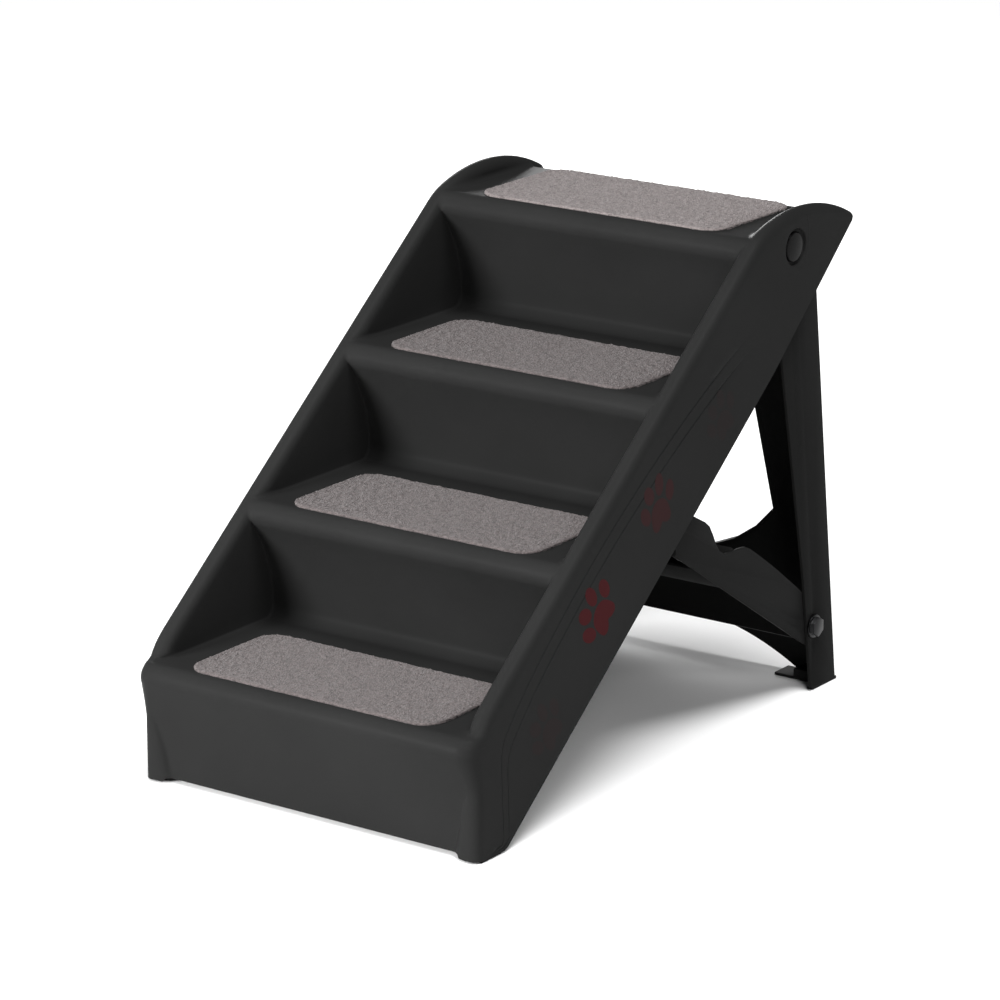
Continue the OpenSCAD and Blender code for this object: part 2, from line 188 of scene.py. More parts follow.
def revolve(name: str, profile: np.ndarray, centre: np.ndarray, side: Side,
            count: int = 72) -> bpy.types.Object:
    """A body of revolution about a line parallel to x.

    The profile's points (x, r) turn round the centre: y = cy + r cos a, z = cz + r sin a.

    Args:
        name: object name.
        profile: (n, 2) points as distance from the middle plane and radius.
        centre: the axis's place as (y, z).
        side: which side of the stairs.
        count: steps round the axis.

    Returns:
        The closed object.
    """
    angle = np.linspace(0.0, 2 * np.pi, count, endpoint=False)
    x = np.repeat(profile[:, 0:1], count, axis=1) * side.value
    y = centre[0] + profile[:, 1:2] * np.cos(angle)
    z = centre[1] + profile[:, 1:2] * np.sin(angle)
    points = np.stack([x, y, z], axis=-1).reshape(-1, 3)
    made = mesh_object(name, points, grid_faces(len(profile), count, True))
    clean(made, outward=True)
    sharpen(made)
    return made


@dataclass
class Recipe:
    """A material under way, whose patterns lie on Object coordinates.

    Attributes:
        name: the material's name.
        material: the material, with its nodes, links and main shader kept beside it.
    """

    name: str
    material: bpy.types.Material = field(init=False)

    def __post_init__(self) -> None:
        """Starts the material from its main shader."""
        self.material = bpy.data.materials.new(self.name)
        self.material.use_nodes = True
        tree = self.material.node_tree
        self.nodes, self.links, self.shader = tree.nodes, tree.links, tree.nodes["Principled BSDF"]

    def node(self, kind: str, values: dict[str, float] | None = None) -> bpy.types.Node:
        """Adds a node and sets its sockets.

        Args:
            kind: the node's type, as it follows ShaderNode.
            values: values by the names of their sockets.

        Returns:
            The new node.
        """
        made = self.nodes.new(f"ShaderNode{kind}")
        for socket, value in (values or {}).items():
            made.inputs[socket].default_value = value
        return made

    def shade(self, socket: str, value: bpy.types.NodeSocket | float | tuple) -> None:
        """Feeds a socket of the main shader.

        Args:
            socket: the socket's name.
            value: a socket to link from, or a value that is the same all over.
        """
        if isinstance(value, bpy.types.NodeSocket):
            self.links.new(value, self.shader.inputs[socket])
        else:
            self.shader.inputs[socket].default_value = value

    def texture(self, kind: str, values: dict[str, float], output: str) -> bpy.types.NodeSocket:
        """Adds a texture on Object coordinates.

        Args:
            kind: the texture node's type, as it follows ShaderNode.
            values: values by the names of their sockets.
            output: name of the output that is wanted.

        Returns:
            The output's socket.
        """
        made = self.node(kind, values)
        self.links.new(self.node("TexCoord").outputs["Object"], made.inputs["Vector"])
        return made.outputs[output]

    def noise(self, scale: float, detail: float) -> bpy.types.NodeSocket:
        """A noise whose features are about 1/scale metres across."""
        return self.texture("TexNoise", {"Scale": scale, "Detail": detail}, "Fac")

    def mixed(self, factor: bpy.types.NodeSocket, first: Colour | bpy.types.NodeSocket,
              second: Colour) -> bpy.types.NodeSocket:
        """Mixes two colours.

        Args:
            factor: 0 for the first colour and 1 for the second.
            first: a fixed colour, or a socket.
            second: a fixed colour.

        Returns:
            The mixed colour's socket.
        """
        made = self.node("Mix")
        made.data_type = "RGBA"
        self.links.new(factor, made.inputs["Factor"])
        made.inputs["B"].default_value = (*second, 1)
        if isinstance(first, tuple):
            made.inputs["A"].default_value = (*first, 1)
        else:
            self.links.new(first, made.inputs["A"])
        return made.outputs["Result"]

    def ranged(self, value: bpy.types.NodeSocket, low: float, high: float, start: float = 0.0,
               end: float = 1.0) -> bpy.types.NodeSocket:
        """Carries a value from start and end to low and high, and holds it between them."""
        made = self.node("MapRange", {"From Min": start, "From Max": end, "To Min": low, "To Max": high})
        self.links.new(value, made.inputs["Value"])
        return made.outputs["Result"]

    def bump(self, height: bpy.types.NodeSocket, strength: float, distance: float,
             sunk: bool = False) -> None:
        """Gives the surface a relief.

        Args:
            height: the relief's pattern.
            strength: share of the relief that shows.
            distance: its height in metres.
            sunk: whether high values sink instead.
        """
        made = self.node("Bump", {"Strength": strength, "Distance": distance})
        made.invert = sunk
        self.links.new(height, made.inputs["Height"])
        self.shade("Normal", made.outputs["Normal"])


@dataclass(frozen=True)
class Plastic:
    """Moulded plastic: satin, with a fine grain in its gloss and surface.

    Attributes:
        name: the material's name.
        colour: mean colour, which a broad cloud varies between two shares of it.
        roughness: mean roughness, which the grain varies a little down and up.
        specular: strength of the plain reflection.
        grain: how fine the grain is, in features per metre.
        grain_depth: share of the grain's relief that shows.
    """

    name: str
    colour: Colour = (0.0160, 0.0161, 0.0160)
    roughness: float = 0.36
    specular: float = 0.008
    grain: float = 900.0
    grain_depth: float = 0.06
    grain_height: float = 0.0003
    cloud: float = 9.0
    cloud_shares: tuple[float, float] = (0.86, 1.16)
    smoother: float = 0.035
    rougher: float = 0.05

    def make(self) -> bpy.types.Material:
        """Builds the material: a broad noise varies the colour, and a fine one the gloss and the surface."""
        recipe = Recipe(self.name)
        darker, lighter = (tuple(part * share for part in self.colour) for share in self.cloud_shares)
        recipe.shade("Base Color", recipe.mixed(recipe.noise(self.cloud, 3.0), darker, lighter))
        fine = recipe.noise(self.grain, 2.0)
        smooth, rough = self.roughness - self.smoother, self.roughness + self.rougher
        recipe.shade("Roughness", recipe.ranged(fine, smooth, rough))
        recipe.bump(fine, self.grain_depth, self.grain_height)
        recipe.shade("Specular IOR Level", self.specular)
        return recipe.material


@dataclass(frozen=True)
class Carpet:
    """Short looped carpet: taupe yarn with darker flecks."""

    name: str
    light: Colour = (0.096, 0.080, 0.079)
    dark: Colour = (0.051, 0.0425, 0.042)
    fleck: Colour = (0.022, 0.018, 0.018)
    yarn: float = 420.0
    yarn_stops: tuple[float, float] = (0.34, 0.62)
    spots: float = 260.0
    spot_stops: tuple[float, float] = (0.60, 0.70)
    spot_strength: float = 0.55
    loops: float = 620.0
    loop_strength: float = 0.7
    loop_height: float = 0.0008
    roughness: float = 0.95
    specular: float = 0.2
    sheen: float = 0.12
    sheen_roughness: float = 0.6

    def make(self) -> bpy.types.Material:
        """Builds the material: two sizes of noise for yarn and flecks, and a cell pattern for the loops."""
        recipe = Recipe(self.name)
        ramp = recipe.node("ValToRGB")
        for stop, place, colour in zip(ramp.color_ramp.elements, self.yarn_stops, (self.dark, self.light)):
            stop.position = place
            stop.color = (*colour, 1)
        recipe.links.new(recipe.noise(self.yarn, 4.0), ramp.inputs["Fac"])
        flecks = recipe.ranged(recipe.noise(self.spots, 2.0), 0.0, self.spot_strength, *self.spot_stops)
        recipe.shade("Base Color", recipe.mixed(flecks, ramp.outputs["Color"], self.fleck))
        recipe.shade("Roughness", self.roughness)
        recipe.shade("Specular IOR Level", self.specular)
        recipe.shade("Sheen Weight", self.sheen)
        recipe.shade("Sheen Roughness", self.sheen_roughness)
        loops = recipe.texture("TexVoronoi", {"Scale": self.loops}, "Distance")
        recipe.bump(loops, self.loop_strength, self.loop_height, sunk=True)
        return recipe.material


@dataclass(frozen=True)
class Metal:
    """Plated steel with faint marks all over."""

    name: str
    colour: Colour = (0.55, 0.55, 0.56)
    roughness: float = 0.32
    smoother: float = 0.08
    rougher: float = 0.12
    marks: float = 700.0
    mark_depth: float = 0.08
    mark_height: float = 0.0002

    def make(self) -> bpy.types.Material:
        """Builds the material: one fine noise varies the gloss and marks the surface."""
        recipe = Recipe(self.name)
        recipe.shade("Base Color", (*self.colour, 1))
        recipe.shade("Metallic", 1.0)
        marks = recipe.noise(self.marks, 3.0)
        smooth, rough = self.roughness - self.smoother, self.roughness + self.rougher
        recipe.shade("Roughness", recipe.ranged(marks, smooth, rough))
        recipe.bump(marks, self.mark_depth, self.mark_height)
        return recipe.material


def dress(obj: bpy.types.Object, material: bpy.types.Material) -> None:
    """Gives the whole object one material."""
    obj.data.materials.clear()
    obj.data.materials.append(material)


def made_by(finish: Plastic | Carpet | Metal) -> bpy.types.Material:
    """A field that holds the finish's material, made with its owner."""
    return field(default_factory=finish.make)


@dataclass
class Finishes:
    """Every finish of the stairs, made once; the top mat's carpet is a lighter copy of the carpet whose extra
    brightness is painted light.
    """

    shell: bpy.types.Material = made_by(Plastic("shell_plastic"))
    leg: bpy.types.Material = made_by(Plastic("leg_plastic", (0.0112, 0.0113, 0.0112), 0.38, 0.006))
    brace: bpy.types.Material = made_by(Plastic("brace_plastic", (0.0130, 0.0131, 0.0130), 0.38, 0.008))
    cap: bpy.types.Material = made_by(Plastic("cap_plastic", (0.0040, 0.0040, 0.0040), 0.18, 0.05))
    carpet: bpy.types.Material = made_by(Carpet("carpet"))
    # Painted light: the same carpet made lighter, standing in for the extra light that falls on the top tread
    top_carpet_painted_light: bpy.types.Material = made_by(
        Carpet("top_carpet_painted_light", (0.182, 0.157, 0.154), (0.106, 0.091, 0.089)))
    steel: bpy.types.Material = made_by(Metal("steel"))
    dark_steel: bpy.types.Material = made_by(Metal("dark_steel", (0.026, 0.026, 0.027), 0.30))
    rubber: bpy.types.Material = made_by(Plastic("rubber", (0.010, 0.010, 0.010), 0.7, 0.1, 600.0, 0.2))
    print_red: Colour = (0.040, 0.0085, 0.0095)

    def ink(self, strength: float) -> bpy.types.Material:
        """Dark red print: from the plastic's own colour at 0 to its full colour at 1."""
        base, full = np.array(Plastic.colour), np.array(self.print_red)
        return Plastic(f"ink_{round(strength * 100)}", tuple(base + (full - base) * strength)).make()


@dataclass(frozen=True)
class StairSizes:
    """Driving sizes in metres, the same as the solids'. Side-plane places are (y, z), first nose at y 0."""

    rise: float = 0.120
    run: float = 0.152
    first_tread: float = 0.1175
    nose_r: float = 0.014
    riser_setback: float = 0.032
    front_setback: float = 0.019
    corner_r: float = 0.014
    riser_gap: float = 0.005
    half_w: float = 0.191
    rail_r: float = 0.010
    skin: float = 0.0025
    panel_front: float = 0.012
    rail_lift: float = 0.0015
    nose_line_y: float = 0.014
    nose_line_up: float = 0.003
    panel_depth: float = 0.119
    front_bend: float = 0.070
    shoulder_bend: float = 0.075
    crest_r: float = 0.200
    crest_back: float = 0.089
    crest_rise: float = 0.017
    tip_angle: float = 63.5
    tip_round: float = 0.0018
    platform_len: float = 0.156
    lip_r: float = 0.009
    lip_drop: float = 0.020
    knee_y: float = 0.492
    sole_t: float = 0.002
    hinge_back: float = 0.070
    hinge_drop: float = 0.0175
    steps: int = 4

    @property
    def slope(self) -> float:
        """Angle of the flight in radians."""
        return math.atan2(self.rise, self.run)

    @property
    def along(self) -> np.ndarray:
        """Unit vector up the slope."""
        return direction(self.slope)

    @property
    def inward(self) -> np.ndarray:
        """Unit vector across the slope, into the shell."""
        return np.array([math.sin(self.slope), -math.cos(self.slope)])

    @property
    def tread_top(self) -> float:
        """Height of the last tread."""
        return self.first_tread + self.rise * (self.steps - 1)

    @property
    def last_nose(self) -> float:
        """Place of the last nose's front."""
        return self.run * (self.steps - 1)

    @property
    def ridge_z(self) -> float:
        """Height of the rail's ridge line above the first nose."""
        return self.first_tread + self.nose_line_up + self.rail_lift

    @property
    def front_centre(self) -> np.ndarray:
        """Centre of the bend from the post to the slope."""
        y = self.panel_front + self.front_bend
        lift = math.sin(self.slope) * (y - self.nose_line_y) - self.front_bend
        return np.array([y, self.ridge_z + lift / math.cos(self.slope)])

    @property
    def crest_centre(self) -> np.ndarray:
        """Centre of the crest's arc."""
        return np.array([self.last_nose + self.crest_back, self.tread_top + self.crest_rise - self.crest_r])

    @property
    def shoulder_angle(self) -> float:
        """Angle in radians where the shoulder's arc meets the crest's."""
        centre = self.crest_centre
        sink = math.sin(self.slope) * (centre[0] - self.nose_line_y)
        sink -= math.cos(self.slope) * (centre[1] - self.ridge_z)
        share = (sink - self.shoulder_bend) / (self.crest_r - self.shoulder_bend)
        return math.pi / 2 + self.slope - math.acos(share)

    @property
    def shoulder_centre(self) -> np.ndarray:
        """Centre of the shoulder's arc."""
        return self.crest_centre + (self.crest_r - self.shoulder_bend) * direction(self.shoulder_angle)

    @property
    def tip(self) -> np.ndarray:
        """The rail's rear end."""
        return self.crest_centre + self.crest_r * direction(math.radians(self.tip_angle))

    @property
    def middle(self) -> float:
        """Half the overall depth, which the row frame is centred on."""
        return float(self.tip[0]) / 2

    @property
    def hinge(self) -> np.ndarray:
        """The leg hinge's axis."""
        return np.array([self.last_nose + self.hinge_back, self.tread_top - self.hinge_drop])

    def lower_edge(self, y: float) -> np.ndarray:
        """Point of the panel's lower edge at y."""
        z0 = self.first_tread + self.nose_line_up - self.panel_depth / math.cos(self.slope)
        return np.array([y, z0 + (y - self.nose_line_y) * math.tan(self.slope)])

    @property
    def heel_y(self) -> float:
        """Where the lower edge meets the sole's height."""
        z0 = self.lower_edge(self.nose_line_y)[1]
        return self.nose_line_y + (self.sole_t - z0) / math.tan(self.slope)

    def tread_z(self, k: int) -> float:
        """Height of tread k."""
        return self.first_tread + self.rise * k


def outline_plate(name: str, outline: np.ndarray, low: float, high: float, side: Side) -> bpy.types.Object:
    """A flat plate: an outline in the side plane, carried from one width to the other and closed.

    Args:
        name: object name.
        outline: (n, 2) points as (y, z) in the row frame.
        low: distance of its inner face from the middle plane.
        high: distance of its outer face from the middle plane.
        side: which side of the stairs.

    Returns:
        The closed plate.
    """
    middle = outline.mean(axis=0)
    share = np.array([0.0, 1.0, 1.0, 0.0])[:, None, None]
    places = middle + (outline - middle)[None] * share
    x = np.broadcast_to(np.array([low, low, high, high])[:, None, None] * side.value, (4, len(outline), 1))
    made = mesh_object(name, np.concatenate([x, places], axis=-1).reshape(-1, 3),
                       grid_faces(4, len(outline), True))
    clean(made, outward=True)
    return made


def joined(objects: list[bpy.types.Object]) -> bpy.types.Object:
    """Joins meshes into the first one.

    Args:
        objects: the mesh objects, of which only the first is kept.

    Returns:
        The first object.
    """
    work = bmesh.new()
    for obj in objects:
        work.from_mesh(obj.data)
    work.to_mesh(objects[0].data)
    work.free()
    for obj in objects[1:]:
        bpy.data.objects.remove(obj)
    return objects[0]


def combine(obj: bpy.types.Object, other: bpy.types.Object, operation: str) -> None:
    """Adds or cuts the other mesh and removes it.

    Args:
        obj: the mesh that is kept.
        other: the mesh that is used up.
        operation: UNION or DIFFERENCE.
    """
    step = obj.modifiers.new(operation.lower(), "BOOLEAN")
    step.object = other
    step.operation = operation
    step.solver = "MANIFOLD"
    bake(obj)
    bpy.data.objects.remove(other)


# Route of the bead, in millimetres behind and above the hinge
BEAD_GUIDE = ((18, 30.5), (20.2, 23), (22.2, 12.6), (22.6, 2), (21.2, -7.2), (17.2, -12.9), (11.4, -16.6))


@dataclass
class HingeSeat:
    """Round seat of the hinge cap: a cup behind the side panel, its bore, and the leg's spacer tube."""

    sizes: StairSizes
    recess_r: float = 0.018
    recess_d: float = 0.004
    rim: float = 0.001
    tube_r: float = 0.009
    tube_x: float = 0.1819
    bore_r: float = 0.0051
    floor_round: float = 0.0008
    inner_past: float = 0.003
    outer_past: float = 0.002
    turns: int = 96
    bead_r: float = 0.0006
    bead_in: float = 0.00038
    bead_rings: int = 60
    bead_sides: int = 12
    bead_taper: int = 4

    @property
    def place(self) -> np.ndarray:
        """The hinge's axis in the row frame."""
        return self.sizes.hinge - [self.sizes.middle, 0]

    def added(self, side: Side) -> bpy.types.Object:
        """Cup and tube as one body of revolution, whose profile ends halfway through the skin.

        Args:
            side: which side of the stairs.

        Returns:
            The closed body to add.
        """
        s = self.sizes
        floor = s.half_w - self.recess_d - s.skin
        outer = self.recess_r + s.skin
        end = s.half_w - s.skin * 0.5
        profile = [(self.tube_x, 0), (self.tube_x, self.tube_r), (floor, self.tube_r), (floor, outer),
                   (end, outer), (end, 0)]
        return revolve(f"cup_{side.word}", np.array(profile), self.place, side, self.turns)

    def cut(self, side: Side) -> bpy.types.Object:
        """The recess with its rounded rim, and the bore through its floor, as one body of revolution.

        Args:
            side: which side of the stairs.

        Returns:
            The closed body to cut.
        """
        s = self.sizes
        turn = np.radians(np.linspace(0, 90, 7))
        floor = s.half_w - self.recess_d
        inner, outer = self.tube_x - self.inner_past, s.half_w + self.outer_past
        rim = np.stack([s.half_w - self.rim * (1 - np.sin(turn)),
                        self.recess_r + self.rim * (1 - np.cos(turn))], -1)
        profile = [(inner, 0), (inner, self.bore_r), (floor, self.bore_r),
                   (floor, self.recess_r - self.floor_round), (floor + self.floor_round, self.recess_r),
                   *rim.tolist(), (outer, self.recess_r + self.rim), (outer, 0)]
        return revolve(f"recess_{side.word}", np.array(profile), self.place, side, self.turns)

    def bead(self, side: Side) -> bpy.types.Object:
        """The fine moulded line from the crest past the cap to the recess.

        Its centre keeps a small depth below the outer face, which bends inward as the rail's circle does,
        and circles with tapered ends stand square to it.

        Args:
            side: which side of the stairs.

        Returns:
            The closed bead.
        """
        s = self.sizes
        track = spline(self.place + MM * np.array(BEAD_GUIDE), self.bead_rings)
        sunk = s.crest_r - np.linalg.norm(track + [s.middle, 0] - s.crest_centre, axis=1)
        lean = np.clip(1 - sunk / s.rail_r, 0, 1)
        outward = np.stack([np.sqrt(1 - lean**2), 0 * lean, lean], axis=-1)
        x = s.half_w - s.rail_r + s.rail_r * outward[:, 0]
        centre = np.concatenate([x[:, None], track], axis=1) - outward * self.bead_in
        forward = np.gradient(centre, axis=0)
        forward /= np.linalg.norm(forward, axis=1)[:, None]
        across = np.cross(forward, outward)
        turn = np.linspace(0, 2 * np.pi, self.bead_sides, endpoint=False)[None, :, None]
        ends = np.minimum(np.arange(self.bead_rings), np.arange(self.bead_rings)[::-1])
        taper = self.bead_r * np.minimum(ends / self.bead_taper, 1) ** 0.5
        ring = np.cos(turn) * outward[:, None] + np.sin(turn) * across[:, None]
        points = (centre[:, None] + taper[:, None, None] * ring) * [side.value, 1, 1]
        faces = grid_faces(self.bead_rings, self.bead_sides, True)
        made = mesh_object(f"bead_{side.word}", points.reshape(-1, 3), faces)
        clean(made, MERGE_FINE, outward=True)
        return made


@dataclass
class HingeCap:
    """Low dome that covers the hinge bolt, with a round edge."""

    seat: HingeSeat
    radius: float = 0.0145
    top: float = 0.0004
    rise: float = 0.0011
    edge: float = 0.0015
    pocket_r: float = 0.0083
    ceiling: float = 0.0013
    clearance: float = 0.00002

    def build(self, side: Side, material: bpy.types.Material) -> bpy.types.Object:
        """Makes the cap, whose height falls from the middle with the square of the radius.

        Args:
            side: which side of the stairs.
            material: its finish.

        Returns:
            The closed cap, dressed and riding on the stairs.
        """
        s = self.seat.sizes
        r = np.linspace(0, self.radius - self.edge, 14)
        crown = s.half_w - self.top - self.rise * (r / self.radius) ** 2
        turn = np.radians(np.linspace(15, 90, 6))
        rim = np.stack([crown[-1] - self.edge * (1 - np.cos(turn)), r[-1] + self.edge * np.sin(turn)], -1)
        floor = s.half_w - self.seat.recess_d + self.clearance
        pocket = s.half_w - self.ceiling
        inside = [(floor, self.radius), (floor, self.pocket_r), (pocket, self.pocket_r), (pocket, 0)]
        profile = np.concatenate([np.stack([crown, r], -1), rim, inside])
        cap = revolve(f"hinge_cap_{side.word}_piece", profile, self.seat.place, side, self.seat.turns)
        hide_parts(f"hinge_cap_{side.word}")
        place_piece(cap, "stairs", material)
        return cap


@dataclass
class PegTab:
    """Tab below the third tread's corner with the peg that the brace hooks over."""

    sizes: StairSizes
    peg_back: float = 0.0098
    peg_down: float = 0.0212
    peg_r: float = 0.004
    peg_x: float = 0.1755
    tab_r: float = 0.006
    chamfer: float = 0.0006
    tab_in: float = 0.0002
    tab_out: float = 0.0003
    peg_in: float = 0.0004

    def build(self, side: Side) -> bpy.types.Object:
        """Makes the tab, the hull of two circles, with its peg.

        Each point of the outline lies on the circle that reaches further in its direction.

        Args:
            side: which side of the stairs.

        Returns:
            The tab and peg as one closed mesh.
        """
        s = self.sizes
        corner = np.array([s.run * 2 + s.riser_setback - s.corner_r, s.tread_z(1) + s.corner_r])
        peg = corner + [self.peg_back, -self.peg_down]
        shift = np.array([s.middle, 0])
        away = direction(np.linspace(0, 2 * np.pi, 96, endpoint=False))
        further = ((peg - corner) @ away.T + self.tab_r) > s.corner_r
        outline = np.where(further[:, None], peg + self.tab_r * away, corner + s.corner_r * away)
        wall = s.half_w - 2 * s.rail_r
        tab = outline_plate(f"tab_{side.word}", outline - shift, wall + self.tab_in,
                            wall + s.skin - self.tab_out, side)
        inner = wall + self.peg_in
        profile = [(inner, 0), (inner, self.peg_r), (self.peg_x - self.chamfer, self.peg_r),
                   (self.peg_x, self.peg_r - self.chamfer), (self.peg_x, 0)]
        pin = revolve(f"peg_{side.word}", np.array(profile), peg - shift, side, 48)
        combine(tab, pin, "UNION")
        return tab


# Toes of a print: place along and across, long and short radius in millimetres, and lean in degrees
TOES = ((12.3, -22.6, 10.8, 7.0, -18), (28.3, -9.3, 11.6, 6.9, -16),
        (27.6, 9.6, 10.4, 7.7, 12), (11.6, 22.3, 10.9, 7.2, 16))


@dataclass(frozen=True)
class PawPrint:
    """A plain printed paw: a notched pad and four oval toes.

    Attributes:
        y: pad centre along the stairs, from the first nose.
        z: pad centre height.
        turn: direction of the toes in degrees.
        strength: how far the print's colour stands out of the plastic's.
        size: scale of the whole print.
    """

    y: float
    z: float
    turn: float
    strength: float
    size: float = 1.0
    sunk: float = 0.0004
    proud: float = 0.00004
    pad: float = 15.0
    bulge: float = 4.5
    bulge_at: float = 135.0
    bulge_spread: float = 28.0
    notch: float = 5.3
    notch_spread: float = 22.0
    points: int = 72

    def outlines(self) -> list[np.ndarray]:
        """Outlines in the print's own frame, toes towards the first axis.

        The pad is a circle, plus a bulge towards each back corner, less a notch between them, both bell
        curves over the angle. A toe is an ellipse, turned a little outward. Sizes are in millimetres and
        degrees.
        """
        angle = np.linspace(-180, 180, self.points, endpoint=False)
        bulge = self.bulge * np.exp(-(((np.abs(angle) - self.bulge_at) / self.bulge_spread) ** 2))
        notch = self.notch * np.exp(-(((np.abs(angle) - 180) / self.notch_spread) ** 2))
        radius = (self.pad + bulge - notch) * MM * self.size
        made = [radius[:, None] * direction(np.radians(angle))]
        for along, across, long, wide, lean in TOES:
            oval = direction(np.radians(angle)) * [long, wide]
            tilt = math.radians(lean)
            spin = np.array([[math.cos(tilt), math.sin(tilt)], [-math.sin(tilt), math.cos(tilt)]])
            made.append((oval @ spin + [along, across]) * MM * self.size)
        return made

    def build(self, sizes: StairSizes, side: Side, material: bpy.types.Material) -> bpy.types.Object:
        """Makes the print, a thin layer of ink on the panel that is closed at its rim.

        Args:
            sizes: the stairs' sizes.
            side: which side of the stairs.
            material: its ink.

        Returns:
            The print, dressed and riding on the stairs.
        """
        tilt = math.radians(self.turn)
        spin = np.array([[math.cos(tilt), math.sin(tilt)], [-math.sin(tilt), math.cos(tilt)]])
        place = np.array([self.y - sizes.middle, self.z])
        low, high = sizes.half_w - self.sunk, sizes.half_w + self.proud
        parts = [outline_plate(f"ink_{i}", shape @ spin + place, low, high, side)
                 for i, shape in enumerate(self.outlines())]
        ink = joined(parts)
        ink.name = f"paw_{round(self.y * 1000)}_{side.word}"
        sharpen(ink, 30)
        place_piece(ink, "stairs", material)
        return ink


# Section of a groove: place across as a share of its half width, and share of its depth
GROOVE_PROFILE = ((-1, 0), (-0.5, 0.55), (0, 1), (0.5, 0.55), (1, 0))


